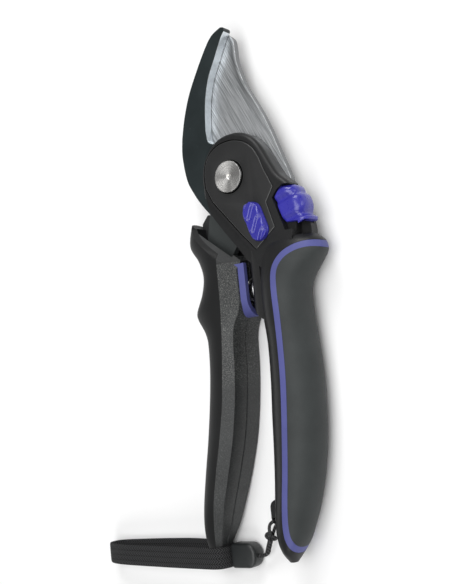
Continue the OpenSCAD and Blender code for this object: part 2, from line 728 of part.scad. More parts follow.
right_handle();
rubber_grip();
accent_strip();
counter_hook();
hook_rivets();
cover_plate();
pivot_bolt();
pivot_bush();
pivot_washer();
pivot_nut();
spring();
lock_leaf();
cutting_blade();
left_handle();
left_grip();
spring_cup();
tang_pins();
lock_slider();
lock_pawl();
selector_button();
selector_slide();
strap_webbing();
strap_cap();
lanyard_cord();
cord_knot();
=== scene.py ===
"""Looks of a bypass pruner that lies on its back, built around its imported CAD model."""
import json
import math
import bmesh
import bpy
from mathutils import Matrix, Vector, noise


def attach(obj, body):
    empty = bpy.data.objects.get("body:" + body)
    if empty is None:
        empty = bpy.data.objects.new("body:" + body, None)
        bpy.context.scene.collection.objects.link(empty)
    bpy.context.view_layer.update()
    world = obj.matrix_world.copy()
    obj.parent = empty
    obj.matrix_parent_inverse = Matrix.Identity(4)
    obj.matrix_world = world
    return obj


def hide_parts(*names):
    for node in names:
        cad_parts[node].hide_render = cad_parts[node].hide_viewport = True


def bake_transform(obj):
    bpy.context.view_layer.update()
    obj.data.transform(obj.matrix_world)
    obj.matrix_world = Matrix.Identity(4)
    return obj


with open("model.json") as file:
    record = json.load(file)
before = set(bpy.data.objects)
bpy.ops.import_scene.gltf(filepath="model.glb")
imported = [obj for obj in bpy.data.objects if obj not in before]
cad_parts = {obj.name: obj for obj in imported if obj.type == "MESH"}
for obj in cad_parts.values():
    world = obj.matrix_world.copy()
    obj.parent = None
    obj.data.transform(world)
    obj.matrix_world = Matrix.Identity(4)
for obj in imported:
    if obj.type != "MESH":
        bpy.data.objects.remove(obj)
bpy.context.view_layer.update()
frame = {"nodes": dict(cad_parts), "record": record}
MM = 0.001
BODY_OF = {node: body for body, nodes in frame["record"]["behaviour"]["bodies"].items()
           for node in nodes}


# ---- camera ----
def camera():
    data = bpy.data.cameras.new("camera")
    data.sensor_width = 36.0
    data.lens = 61.6
    data.clip_start = 0.01
    cam = bpy.data.objects.new("camera", data)
    right, up, back = ((-0.1008, -0.7929, -0.6010), (0.9883, -0.1495, 0.0315), (-0.1148, -0.5908, 0.7986))
    cam.matrix_world = Matrix.Translation((-0.09136, -0.22853, 0.33618)) @ Matrix((right, up, back)).transposed().to_4x4()
    bpy.context.collection.objects.link(cam)
    bpy.context.scene.camera = cam


camera()


# ---- shared mesh work ----
def through(points, steps):
    """A smooth line through rows of numbers, with that many steps to a stretch."""
    rows, last = [], len(points) - 1
    for i in range(last):
        a, b, c, d = (points[max(i - 1, 0)], points[i], points[i + 1], points[min(i + 2, last)])
        for k in range(steps):
            t = k / steps
            rows.append([0.5 * (2 * q + (r - p) * t + (2 * p - 5 * q + 4 * r - s) * t * t
                                + (3 * q - p - 3 * r + s) * t ** 3) for p, q, r, s in zip(a, b, c, d)])
    return rows + [list(points[-1])]


def drawn_out(sides, stations, place, marks=None):
    """A ring drawn out through the stations. place(station, side) is a point in millimetres,
    and marks(station, side) how far along and across the piece it lies, for its pattern."""
    bm = bmesh.new()
    side = bm.verts.layers.int.new("side")
    along, across = (bm.verts.layers.float.new(n) for n in ("along", "across"))
    verts = bmesh.ops.create_circle(bm, segments=sides, radius=1.0)["verts"]
    for k, v in enumerate(verts):
        v[side] = k
    edges = first = bm.edges[:]
    for n, station in enumerate(stations):
        if n:
            made = bmesh.ops.extrude_edge_only(bm, edges=edges)["geom"]
            verts = [g for g in made if isinstance(g, bmesh.types.BMVert)]
            ring = set(verts)
            edges = [g for g in made if isinstance(g, bmesh.types.BMEdge) and ring.issuperset(g.verts)]
        for v in verts:
            v.co = Vector(place(station, v[side])) * MM
            if marks:
                v[along], v[across] = marks(station, v[side])
    for ring in (first, edges):
        bmesh.ops.edgeloop_fill(bm, edges=ring)
    bmesh.ops.recalc_face_normals(bm, faces=bm.faces)
    return bm


def plate(outline, low, high):
    """A flat outline in millimetres, raised from one height to another."""
    bm = bmesh.new()
    face = bm.faces.new([bm.verts.new((x * MM, y * MM, low * MM)) for x, y in outline])
    made = bmesh.ops.extrude_face_region(bm, geom=[face])["geom"]
    bmesh.ops.translate(bm, vec=(0, 0, (high - low) * MM),
                        verts=[g for g in made if isinstance(g, bmesh.types.BMVert)])
    bmesh.ops.recalc_face_normals(bm, faces=bm.faces)
    return bm


def of_node(node):
    """A copy of a CAD node's shape, with its triangles joined into faces."""
    bm = bmesh.new()
    bm.from_mesh(frame["nodes"][node].data)
    bmesh.ops.remove_doubles(bm, verts=bm.verts, dist=0.002 * MM)
    bmesh.ops.dissolve_degenerate(bm, edges=bm.edges, dist=0.001 * MM)
    bmesh.ops.dissolve_limit(bm, angle_limit=math.radians(1), verts=bm.verts, edges=bm.edges)
    return bm


def piece(name, bm, nodes, finish, sharp=None, body=None, ride=True):
    mesh = bpy.data.meshes.new(name)
    bm.to_mesh(mesh)
    bm.free()
    mesh.shade_smooth()
    if sharp:
        mesh.set_sharp_from_angle(angle=math.radians(sharp))
    obj = bpy.data.objects.new(name, mesh)
    bpy.context.collection.objects.link(obj)
    for m in (finish if isinstance(finish, (list, tuple)) else [finish]):
        mesh.materials.append(m)
    if ride:
        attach(obj, body or BODY_OF[nodes[0]])
    if nodes:
        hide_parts(*nodes)
    return obj


def rounded(obj, width, segments=3, angle=30, edge_highlight=None):
    """Rounds the piece's edges, which take a painted edge highlight finish where one is given."""
    mod = obj.modifiers.new("rounded edges", "BEVEL")
    # A given finish paints a highlight onto the rounded edges.
    if edge_highlight:
        obj.data.materials.append(edge_highlight)
        mod.material = len(obj.data.materials) - 1
    mod.width = width * MM
    mod.segments = segments
    mod.limit_method = "ANGLE"
    mod.angle_limit = math.radians(angle)
    mod.harden_normals = True
    mod.use_clamp_overlap = True
    return obj


def walled(obj, thickness):
    mod = obj.modifiers.new("wall", "SOLIDIFY")
    mod.thickness = thickness * MM
    mod.offset = -1
    return obj


def cut_along(bm, value, level):
    """Cuts the skin along the line where value(point) is level."""
    at = {v: value(v.co) - level for v in bm.verts}
    crossing = {e: at[e.verts[0]] / (at[e.verts[0]] - at[e.verts[1]]) for e in bm.edges
                if at[e.verts[0]] * at[e.verts[1]] < 0}
    made = bmesh.ops.bisect_edges(bm, edges=list(crossing), cuts=1, edge_percents=crossing)
    bmesh.ops.connect_verts(bm, verts=[g for g in made["geom_split"] if isinstance(g, bmesh.types.BMVert)])


def part_of(bm, keep):
    """A copy of a skin with only the faces that keep(middle) chooses."""
    cut = bm.copy()
    bmesh.ops.delete(cut, geom=[f for f in cut.faces if not keep(f.calc_center_median())], context="FACES")
    return cut


# ---- shared material work ----
class Nodes:
    """The nodes of one material or group, added in a line."""

    def __init__(self, tree):
        self.tree = tree

    def add(self, kind, settings=None, **inputs):
        node = self.tree.nodes.new("ShaderNode" + kind)
        for key, value in (settings or {}).items():
            setattr(node, key, value)
        for key, value in inputs.items():
            self.put(node.inputs[key.replace("_", " ")], value)
        return node

    def put(self, socket, value):
        if isinstance(value, bpy.types.NodeSocket):
            self.tree.links.new(value, socket)
        else:
            socket.default_value = value

    def math(self, what, a, b=0.0):
        node = self.add("Math", {"operation": what})
        self.put(node.inputs[0], a)
        self.put(node.inputs[1], b)
        return node.outputs[0]

    def ramp(self, value, *stops):
        node = self.add("ValToRGB", Fac=value)
        for i, (at, colour) in enumerate(stops):
            e = node.color_ramp.elements[i] if i < 2 else node.color_ramp.elements.new(at)
            e.position = at
            e.color = (*([colour] * 3 if isinstance(colour, float) else colour), 1)
        return node.outputs["Color"]

    def span(self, value, low, high, to_low, to_high):
        return self.add("MapRange", Value=value, From_Min=low, From_Max=high, To_Min=to_low, To_Max=to_high).outputs["Result"]

    def mixed(self, share, a, b):
        node = self.add("Mix", {"data_type": "RGBA"})
        self.put(node.inputs["Factor"], share)
        self.put(node.inputs["A"], a)
        self.put(node.inputs["B"], b)
        return node.outputs["Result"]


def new_group(name, inputs, outputs):
    tree = bpy.data.node_groups.new(name, "ShaderNodeTree")
    for label, kind in inputs:
        tree.interface.new_socket(label, in_out="INPUT", socket_type="NodeSocket" + kind)
    for label, kind in outputs:
        tree.interface.new_socket(label, in_out="OUTPUT", socket_type="NodeSocket" + kind)
    n = Nodes(tree)
    return n, tree.nodes.new("NodeGroupInput").outputs, tree.nodes.new("NodeGroupOutput").inputs


def moulded_grain():
    """Fine moulded grain, and slow unevenness of the surface."""
    n, given, out = new_group("moulded grain", [("Place", "Vector"), ("Size", "Float"), ("Depth", "Float")],
                              [("Fine", "Float"), ("Slow", "Float"), ("Normal", "Vector")])
    scale = n.math("DIVIDE", 1.0, given["Size"])
    fine = n.add("TexNoise", Vector=given["Place"], Scale=scale, Detail=4.0, Roughness=0.6).outputs["Fac"]
    slow = n.add("TexNoise", Vector=given["Place"], Scale=90.0, Detail=3.0).outputs["Fac"]
    bump = n.add("Bump", Strength=0.6, Distance=given["Depth"], Height=fine)
    n.put(out["Fine"], fine)
    n.put(out["Slow"], slow)
    n.put(out["Normal"], bump.outputs["Normal"])
    return n.tree


def ground_lines():
    """Fine lines that a wheel leaves on steel, along the first axis of the place."""
    n, given, out = new_group("ground lines", [("Place", "Vector"), ("Depth", "Float")],
                              [("Lines", "Float"), ("Normal", "Vector")])
    long = n.add("Mapping", Vector=given["Place"], Scale=(70.0, 2300.0, 900.0)).outputs["Vector"]
    wide = n.add("Mapping", Vector=given["Place"], Scale=(30.0, 700.0, 300.0)).outputs["Vector"]
    a = n.add("TexNoise", Vector=long, Scale=1.0, Detail=5.0, Roughness=0.65).outputs["Fac"]
    b = n.add("TexNoise", Vector=wide, Scale=1.0, Detail=3.0, Roughness=0.6).outputs["Fac"]
    both = n.math("ADD", n.math("MULTIPLY", a, 0.72), n.math("MULTIPLY", b, 0.28))
    bump = n.add("Bump", Strength=0.5, Distance=given["Depth"], Height=both)
    n.put(out["Lines"], both)
    n.put(out["Normal"], bump.outputs["Normal"])
    return n.tree


GRAIN, LINES = moulded_grain(), ground_lines()


def new_finish(name):
    mat = bpy.data.materials.new(name)
    mat.use_nodes = True
    mat.node_tree.nodes.clear()
    n = Nodes(mat.node_tree)
    shader = n.add("BsdfPrincipled")
    out = mat.node_tree.nodes.new("ShaderNodeOutputMaterial")
    mat.node_tree.links.new(shader.outputs["BSDF"], out.inputs["Surface"])
    place = n.add("TexCoord").outputs["Object"]
    return mat, n, shader, place


def shades(colour, spread):
    return tuple((*(c * f for c in colour), 1.0) for f in (1 - spread, 1 + spread))


def moulded(name, colour, rough, grain=0.0004, depth=0.00002, spread=0.12, coat=0.0, specular=0.5, sheen=0.0):
    """A moulded plastic or rubber."""
    mat, n, shader, place = new_finish(name)
    g = n.add("Group", {"node_tree": GRAIN}, Place=place, Size=grain, Depth=depth)
    dark, light = shades(colour, spread)
    n.put(shader.inputs["Base Color"], n.mixed(n.span(g.outputs["Slow"], 0.3, 0.7, 0.0, 1.0), dark, light))
    n.put(shader.inputs["Roughness"], n.span(g.outputs["Fine"], 0.3, 0.7, rough - 0.06, rough + 0.06))
    n.put(shader.inputs["Normal"], g.outputs["Normal"])
    n.put(shader.inputs["Specular IOR Level"], specular)
    n.put(shader.inputs["Coat Weight"], coat)
    n.put(shader.inputs["Coat Roughness"], 0.12)
    n.put(shader.inputs["Sheen Weight"], sheen)
    return mat


def filled_nylon(name):
    """Glass-filled nylon: a matte grain with pale flecks, smooth at the handle's head, with a painted shadow line at
    the step where the grain begins.
    """
    mat, n, shader, place = new_finish(name)
    g = n.add("Group", {"node_tree": GRAIN}, Place=place, Size=0.0005, Depth=0.00012)
    fleck = n.add("TexNoise", Vector=place, Scale=2600.0, Detail=2.0, Roughness=0.7).outputs["Fac"]
    x = n.add("SeparateXYZ", Vector=place).outputs["X"]
    below = n.span(x, -0.0345, -0.0335, 1.0, 0.0)
    # Painted shadow: a near-black line across the handle at the step where the flecked grain begins.
    step_shadow = n.span(n.math("ABSOLUTE", n.math("ADD", x, 0.0338)), 0.0001, 0.0004, 0.75, 0.0)
    above = n.span(x, -0.085, -0.079, 0.35, 1.0)
    where = n.math("MULTIPLY", below, above)
    pale = n.math("MULTIPLY", n.span(fleck, 0.5, 0.68, 0.0, 0.8), where)
    ground = n.mixed(n.span(g.outputs["Slow"], 0.3, 0.7, 0.0, 1.0), (0.009, 0.01, 0.0107, 1), (0.018, 0.02, 0.0205, 1))
    n.put(shader.inputs["Base Color"], n.mixed(step_shadow, n.mixed(pale, ground, (0.16, 0.165, 0.155, 1)), (0.003, 0.003, 0.003, 1)))
    n.put(shader.inputs["Roughness"], n.span(g.outputs["Fine"], 0.3, 0.7, 0.42, 0.58))
    n.put(shader.inputs["Normal"], g.outputs["Normal"])
    return mat


def coated_steel():
    """Dark non-stick coating with a few pale specks."""
    mat, n, shader, place = new_finish("dark coating")
    g = n.add("Group", {"node_tree": GRAIN}, Place=place, Size=0.0006, Depth=0.000012)
    speck = n.add("TexVoronoi", Vector=place, Scale=330.0).outputs["Distance"]
    pale = n.span(speck, 0.03, 0.07, 0.5, 0.0)
    ground = n.mixed(n.span(g.outputs["Slow"], 0.3, 0.7, 0.0, 1.0), (0.007, 0.0115, 0.0125, 1), (0.013, 0.0195, 0.021, 1))
    n.put(shader.inputs["Base Color"], n.mixed(pale, ground, (0.2, 0.22, 0.21, 1)))
    n.put(shader.inputs["Roughness"], n.span(g.outputs["Fine"], 0.3, 0.7, 0.34, 0.46))
    n.put(shader.inputs["Normal"], g.outputs["Normal"])
    n.put(shader.inputs["Specular IOR Level"], 0.4)
    return mat


def ground_steel(name, colour, rough, turn, spread=0.35, depth=0.00001):
    """Steel with straight ground lines, turned about the vertical."""
    mat, n, shader, place = new_finish(name)
    turned = n.add("Mapping", {"vector_type": "TEXTURE"}, Vector=place, Rotation=(0, 0, math.radians(turn))).outputs["Vector"]
    g = n.add("Group", {"node_tree": LINES}, Place=turned, Depth=depth)
    dark, light = shades(colour, spread)
    n.put(shader.inputs["Base Color"], n.mixed(n.span(g.outputs["Lines"], 0.36, 0.64, 0.0, 1.0), dark, light))
    n.put(shader.inputs["Roughness"], n.span(g.outputs["Lines"], 0.3, 0.7, rough + 0.08, rough - 0.08))
    n.put(shader.inputs["Normal"], g.outputs["Normal"])
    n.put(shader.inputs["Metallic"], 1.0)
    return mat


def blade_steel(back_line):
    """The blade: lines at a slant, and a band of painted shade that runs along inside its back."""
    mat, n, shader, place = new_finish("ground blade steel")
    turned = n.add("Mapping", {"vector_type": "TEXTURE"}, Vector=place, Rotation=(0, 0, math.radians(26))).outputs["Vector"]
    g = n.add("Group", {"node_tree": LINES}, Place=turned, Depth=0.000014)
    xyz = n.add("SeparateXYZ", Vector=place).outputs
    curve = n.add("FloatCurve", Value=n.span(xyz["X"], 0.0, 0.064, 0.0, 1.0))
    line = curve.mapping.curves[0]
    for i, (x, y) in enumerate(back_line):
        at = (x / 64.0, (y + 24.0) / 24.0)
        if i < 2:
            line.points[i].location = at
        else:
            line.points.new(*at)
    curve.mapping.update()
    back = n.math("MULTIPLY", n.math("SUBTRACT", curve.outputs[0], 1.0), 0.024)
    inside = n.math("SUBTRACT", xyz["Y"], back)
    # Painted shade: a dark band on the front face a little inside the back edge, fading out towards the pivot.
    back_shade = n.math("MULTIPLY", n.span(inside, 0.0004, 0.0012, 0.0, 1.0), n.span(inside, 0.0013, 0.0036, 1.0, 0.0))
    front = n.span(xyz["Z"], 0.01005, 0.01015, 0.0, 1.0)
    back_shade = n.math("MULTIPLY", back_shade, n.math("MULTIPLY", front, n.span(xyz["X"], 0.02, 0.036, 0.0, 0.75)))
    colour = n.mixed(n.span(g.outputs["Lines"], 0.4, 0.6, 0.0, 1.0), (0.3, 0.315, 0.325, 1), (0.85, 0.87, 0.89, 1))
    colour = n.mixed(n.span(xyz["Z"], 0.0099, 0.01, 1.0, 0.0), colour, (0.2, 0.205, 0.21, 1))
    tang = n.span(xyz["X"], -0.011, -0.008, 1.0, 0.0)
    colour = n.mixed(back_shade, colour, (0.12, 0.125, 0.13, 1))
    n.put(shader.inputs["Base Color"], n.mixed(tang, colour, (0.05, 0.056, 0.056, 1)))
    n.put(shader.inputs["Roughness"], n.span(g.outputs["Lines"], 0.3, 0.7, 0.5, 0.32))
    n.put(shader.inputs["Normal"], g.outputs["Normal"])
    n.put(shader.inputs["Metallic"], n.span(tang, 0.0, 1.0, 1.0, 0.3))
    return mat


def turned_steel():
    """Steel turned on a lathe, with rings about the bolt's axis, and painted shade on the head's outer rim."""
    mat, n, shader, place = new_finish("turned steel")
    xyz = n.add("SeparateXYZ", Vector=place).outputs
    flat = n.add("CombineXYZ", X=xyz["X"], Y=xyz["Y"]).outputs["Vector"]
    r = n.add("VectorMath", {"operation": "LENGTH"}, Vector=flat).outputs["Value"]
    rings = n.add("TexNoise", {"noise_dimensions": "1D"}, W=r, Scale=5200.0, Detail=3.0).outputs["Fac"]
    bright = n.mixed(rings, (0.62, 0.61, 0.59, 1), (0.95, 0.94, 0.92, 1))
    # Painted shadow: beyond 6.3 mm from the axis the head's rim is painted dark, standing in for the shadow gap round
    # the bolt.
    n.put(shader.inputs["Base Color"], n.mixed(n.span(r, 0.0062, 0.0064, 0.0, 1.0), bright, (0.1, 0.1, 0.1, 1)))
    n.put(shader.inputs["Roughness"], n.span(rings, 0.2, 0.8, 0.2, 0.34))
    n.put(shader.inputs["Normal"], n.add("Bump", Strength=0.35, Distance=0.00001, Height=rings).outputs["Normal"])
    n.put(shader.inputs["Metallic"], 1.0)
    n.put(shader.inputs["Anisotropic"], 0.85)
    tangent = n.add("Tangent", {"direction_type": "RADIAL", "axis": "Z"})
    n.put(shader.inputs["Tangent"], tangent.outputs["Tangent"])
    return mat


def woven():
    """Herringbone webbing: slanted ribs that turn over along each column."""
    mat, n, shader, _ = new_finish("black webbing")
    along = n.add("Attribute", {"attribute_name": "along"}).outputs["Fac"]
    across = n.add("Attribute", {"attribute_name": "across"}).outputs["Fac"]
    column = n.math("PINGPONG", across, 0.00108)
    slant = n.math("ADD", n.math("MULTIPLY", along, 1.0), n.math("MULTIPLY", column, 1.1))
    rib = n.math("SINE", n.math("MULTIPLY", slant, 2 * math.pi / 0.00105))
    seam = n.span(n.math("PINGPONG", across, 0.00108), 0.0, 0.00024, -0.9, 0.0)
    height = n.math("ADD", rib, seam)
    fibre = n.add("TexNoise", Vector=n.add("CombineXYZ", X=along, Y=across).outputs["Vector"], Scale=9000.0, Detail=2.0).outputs["Fac"]
    shade = n.math("ADD", n.span(height, -1.4, 1.0, 0.0, 0.8), n.math("MULTIPLY", fibre, 0.3))
    n.put(shader.inputs["Base Color"], n.ramp(shade, (0.3, (0.0012, 0.0012, 0.0014)), (0.9, (0.055, 0.056, 0.058))))
    n.put(shader.inputs["Roughness"], n.span(fibre, 0.3, 0.7, 0.62, 0.8))
    n.put(shader.inputs["Normal"], n.add("Bump", Strength=0.9, Distance=0.00022, Height=height).outputs["Normal"])
    n.put(shader.inputs["Specular IOR Level"], 0.2)
    return mat


def twisted():
    """Cord laid from strands that wind round it."""
    mat, n, shader, _ = new_finish("twisted cord")
    along = n.add("Attribute", {"attribute_name": "along"}).outputs["Fac"]
    across = n.add("Attribute", {"attribute_name": "across"}).outputs["Fac"]
    wind = n.math("ADD", n.math("MULTIPLY", along, 2 * math.pi / 0.0014), n.math("MULTIPLY", across, 2 * math.pi))
    strand = n.math("SINE", wind)
    # Painted shade: the strand sine paints the crests lighter and the grooves between strands darker.
    n.put(shader.inputs["Base Color"], n.ramp(n.span(strand, -1.0, 1.0, 0.0, 1.0), (0.2, (0.003, 0.003, 0.003)), (0.9, (0.028, 0.028, 0.03))))
    n.put(shader.inputs["Roughness"], n.span(strand, -1.0, 1.0, 0.75, 0.5))
    n.put(shader.inputs["Normal"], n.add("Bump", Strength=0.8, Distance=0.00016, Height=strand).outputs["Normal"])
    return mat


# ---- wrist strap: webbing, lanyard cord and knot ----
STRAP_WIDE, STRAP_THICK, CORD_ACROSS = 8.6, 1.3, 1.3
STRAP_ROUTE = [
    (-151.2, 24.2, 4.9), (-151.2, 26.1, 5.5), (-151.2, 26.5, 8.6), (-151.2, 28, 11.6),
    (-151.2, 31.2, 12.6), (-151.1, 36, 12.7), (-151, 44, 12.3), (-150.9, 54, 11.6), (-150.7, 64, 11), (-150.5, 74, 10.4),
    (-150.3, 83, 9.6), (-150.1, 90, 8), (-149.9, 94, 5.4), (-149.7, 93.6, 2.6), (-149.5, 90, 1),
    (-149.3, 82, 0.8), (-149.1, 72, 0.8), (-149, 62, 0.8), (-149, 52, 0.8), (-149.3, 44, 0.8),
    (-149.9, 36, 0.8), (-150.6, 30, 1), (-151.1, 27.2, 1.8), (-151.2, 24.6, 2.1)]
CORD_ROUTE = [
    (-151.4, 16, 2.8), (-151.4, 13.6, 2.8), (-151.3, 11.6, 2.8), (-150.2, 9.9, 3),
    (-148.4, 8.9, 3.4), (-146.2, 7.6, 4), (-144.4, 6.2, 4.8), (-142, 4.8, 5.6), (-139.4, 3, 6),
    (-137.4, 0.6, 5.8), (-136.6, -0.9, 6.8), (-136.5, -1.2, 8.4), (-136.5, -1.2, 10.4),
    (-136.6, -0.9, 12.6), (-137.6, 0.4, 13.3), (-139.3, 2, 12), (-141.2, 3.6, 9.8),
    (-143, 5.1, 7.9), (-144.6, 6.4, 6.6), (-146.2, 7.6, 5.6), (-148.4, 8.9, 5),
    (-150.2, 9.9, 4.6), (-151.3, 11.6, 4.3), (-151.4, 13.6, 4.3), (-151.4, 16, 4.3)]


def along_route(route, hint, section, sides):
    """A section drawn along a route. section(side) is a place across it and a height, and its share."""
    points = [Vector(p) for p in route]
    stations, gone = [], 0.0
    for i, p in enumerate(points):
        ahead = (points[min(i + 1, len(points) - 1)] - points[max(i - 1, 0)]).normalized()
        wide = (Vector(hint) - ahead * ahead.dot(Vector(hint))).normalized()
        if i:
            gone += (p - points[i - 1]).length
        stations.append((p, wide, ahead.cross(wide), gone))

    def place(s, k):
        a, b, _ = section(k)
        return s[0] + s[1] * a + s[2] * b

    return drawn_out(sides, stations, place, lambda s, k: (s[3] * MM, section(k)[2]))


def band_section(sides=28):
    def section(k):
        a = 2 * math.pi * (k + 0.5) / sides
        c, s = math.cos(a), math.sin(a)
        across = math.copysign(abs(c) ** 0.3, c) * STRAP_WIDE / 2
        return across, math.copysign(abs(s) ** 0.6, s) * STRAP_THICK / 2, across * MM
    return section


def round_section(across, sides=16):
    def section(k):
        a = 2 * math.pi * k / sides
        return math.cos(a) * across / 2, math.sin(a) * across / 2, k / sides
    return section


WEBBING, TWISTED = woven(), twisted()
strap_line = through(STRAP_ROUTE, 6)
cord_line = through(CORD_ROUTE, 5)
webbing = piece("strap_webbing_woven", along_route(strap_line, (1, 0, 0), band_section(), 28),
                ["strap_webbing"], WEBBING)
cord = piece("lanyard_cord_twisted", along_route(cord_line, (0.3, 0.2, 1), round_section(CORD_ACROSS), 16),
             ["lanyard_cord"], TWISTED)


def knot_line(middle, size):
    """An overhand knot pulled tight."""
    rows = []
    for k in range(61):
        a = 2 * math.pi * k / 60
        rows.append((middle[0] + size * 0.36 * (math.sin(a) + 2 * math.sin(2 * a)),
                     middle[1] + size * 0.36 * (math.cos(a) - 2 * math.cos(2 * a)),
                     middle[2] - size * 0.7 * math.sin(3 * a)))
    return rows


KNOT_AT = (-143.8, 5.8, 6.2)
knot = piece("cord_knot_tied", along_route(knot_line(KNOT_AT, 1.8), (0.1, 0.2, 1), round_section(CORD_ACROSS), 16),
             ["cord_knot"], TWISTED)

# ---- finishes ----
BLACK = moulded("black moulding", (0.012, 0.0122, 0.0126), 0.4, grain=0.0007, depth=0.000012, specular=0.3)
MATTE = moulded("matte cover plate", (0.018, 0.0182, 0.0186), 0.6, grain=0.0003, depth=0.00002, specular=0.25)
RUBBER = moulded("soft grip rubber", (0.035, 0.039, 0.039), 0.6, grain=0.0005, depth=0.00001, specular=0.25, sheen=0.03)
SKIN = moulded("smooth charcoal grip", (0.008, 0.0083, 0.0086), 0.5, grain=0.0004, depth=0.00001, specular=0.25)
VIOLET_LINE = moulded("violet line", (0.078, 0.084, 0.25), 0.5, spread=0.06, depth=0.000008, specular=0.3)
VIOLET_GLOSS = moulded("glossy violet", (0.03, 0.027, 0.3), 0.3, grain=0.0012, depth=0.000002, spread=0.1, coat=0.35)
NYLON = filled_nylon("grainy nylon")
# Left handle frame's rounded edges are painted lighter: a painted highlight along its rims.
NYLON_EDGE_HIGHLIGHT = moulded("nylon edge painted highlight", (0.05, 0.053, 0.052), 0.45, specular=0.4)
CAP_GREY = moulded("cap moulding", (0.015, 0.017, 0.0175), 0.42, grain=0.0006, depth=0.000012)
COATING = coated_steel()
GROUND = ground_steel("ground hook wall", (0.6, 0.64, 0.67), 0.34, 20, spread=0.1)
# Cover plate's rounded edges are painted lighter: a painted highlight where the chamfer catches light.
PLATE_EDGE_HIGHLIGHT = moulded("plate edge painted highlight", (0.045, 0.046, 0.046), 0.32, specular=0.5)
# Counter hook's rounded edges are painted lighter: a painted highlight along its edges.
COAT_EDGE_HIGHLIGHT = moulded("coating edge painted highlight", (0.035, 0.042, 0.042), 0.36, specular=0.5)
PLAIN_STEEL = ground_steel("plain steel", (0.5, 0.5, 0.5), 0.35, 0, spread=0.12)
BRONZE = ground_steel("bronze", (0.6, 0.42, 0.2), 0.35, 90, spread=0.1)
TURNED = turned_steel()
BACK_LINE = [(0.0, -22.6), (64.0, -1.5), (4.9, -21.1), (15.9, -17.4), (24.4, -14.0), (32.6, -9.8),
             (39.2, -6.8), (45.6, -4.9), (49.7, -4.2), (54.3, -4.1), (57.4, -3.9)]
BLADE = blade_steel(BACK_LINE)

# ---- cap that closes the strap ----
cap = rounded(piece("strap_cap_moulded", of_node("strap_cap"), ["strap_cap"], CAP_GREY), 1.5, 4, 40)

# ---- right handle ----
GRIP_START, RIGHT_LENGTH, RIGHT_MID = 28.5, 152.5, 10.0
RIGHT_FORM = [
    (0, -7.4, -32.8, 3.2), (0.02, -7, -35.8, 1.8), (0.05, -6.8, -36.6, 0.7), (0.078, -6.8, -34.2, 0.2),
    (0.107, -6.8, -30.8, 0), (0.137, -6.8, -28, 0), (0.171, -6.8, -26.5, 0), (0.234, -6.9, -26.4, 0),
    (0.322, -7.6, -27.2, 0), (0.43, -7.1, -27.8, 0), (0.547, -5.9, -27.2, 0), (0.654, -5, -25.7, 0),
    (0.751, -3.9, -23.1, 0.3), (0.83, -2.7, -20, 0.8), (0.89, -2, -16.8, 1.6), (0.935, -2.4, -14, 2.6),
    (0.97, -3.6, -10.9, 4.6), (1, -5.4, -8.2, 8.2)]
ACCENT_PATH = [
    (0.049, -40), (0.037, -36), (0.035, -31), (0.044, -26), (0.063, -21.5), (0.098, -18.2), (0.156, -17.2),
    (0.254, -17.4), (0.342, -17.4), (0.44, -17), (0.566, -15.6), (0.703, -13.6), (0.82, -11.2),
    (0.888, -10), (0.93, -10.2), (0.965, -12), (1, -17)]
ACCENT_WIDE = 2.6


def right_x(share):
    return -GRIP_START - share * (RIGHT_LENGTH - GRIP_START)


accent_line = [Vector((right_x(s), y, 0)) * MM for s, y in through(ACCENT_PATH, 5)]


def from_accent(p):
    """Distance in plan from the middle of the violet line, above 0 on the rubber's side."""
    p = Vector((p[0], p[1], 0))
    best, sign = 1e9, 1
    for a, b in zip(accent_line, accent_line[1:]):
        ab = b - a
        t = max(0.0, min(1.0, (p - a).dot(ab) / ab.length_squared))
        off = p - (a + ab * t)
        if off.length < best:
            best = off.length
            sign = 1 if ab.x * off.y - ab.y * off.x > 0 else -1
    return best * sign


def right_place(sides, share=1.0):
    def place(f, k):
        a = 2 * math.pi * k / sides
        c, s = math.cos(a), math.sin(a)
        mid, wide, deep = (f[1] + f[2]) / 2, (f[1] - f[2]) / 2 * share, (RIGHT_MID - f[3]) * share
        return (right_x(f[0]), mid + wide * math.copysign(abs(c) ** 0.92, c),
                RIGHT_MID + deep * math.copysign(abs(s) ** 0.92, s))
    return place


def right_grip():
    stations = through(RIGHT_FORM, 6)
    skin = drawn_out(72, stations, right_place(72))
    half, gap = ACCENT_WIDE / 2 * MM, 0.1 * MM
    for level in (half, half + gap, -half, -half - gap):
        cut_along(skin, from_accent, level)
    rubber = piece("rubber_grip_skin", part_of(skin, lambda c: from_accent(c) > half + gap / 2),
                   ["rubber_grip"], RUBBER)
    strip = piece("accent_strip_line", part_of(skin, lambda c: abs(from_accent(c)) < half),
                  ["accent_strip"], VIOLET_LINE)
    core = piece("right_handle_skin", part_of(skin, lambda c: from_accent(c) < -half - gap / 2),
                 ["right_handle"], BLACK)
    skin.free()
    for obj, edge in ((rubber, 0.3), (strip, 0.15), (core, 0.3)):
        rounded(walled(obj, 1.2), edge, 2, 60)
    inner = piece("right_handle_core", drawn_out(48, stations[3:-3], right_place(48, 0.93)),
                  [], BLACK, body="right_half")
    return rubber, strip, core, inner


right_grip()


def bar_outline(long, wide, steps=16):
    """A bar with round ends."""
    rows = []
    for side in (1, -1):
        for k in range(steps + 1):
            a = math.radians(-90 + 180 * k / steps)
            rows.append((side * ((long - wide) / 2 + math.cos(a) * wide / 2), side * math.sin(a) * wide / 2))
    return rows


def set_down(bm, at, turn=0.0, low=0.0):
    """Turns a shape about the vertical and puts it in its place, in millimetres."""
    matrix = Matrix.Translation(Vector((at[0], at[1], low)) * MM) @ Matrix.Rotation(math.radians(turn), 4, "Z")
    bmesh.ops.transform(bm, matrix=matrix, verts=bm.verts)
    return bm


def stood(bm, axes):
    """Turns a shape so that its own axes point along these."""
    bmesh.ops.transform(bm, matrix=Matrix(axes).transposed().to_4x4(), verts=bm.verts)
    return bm


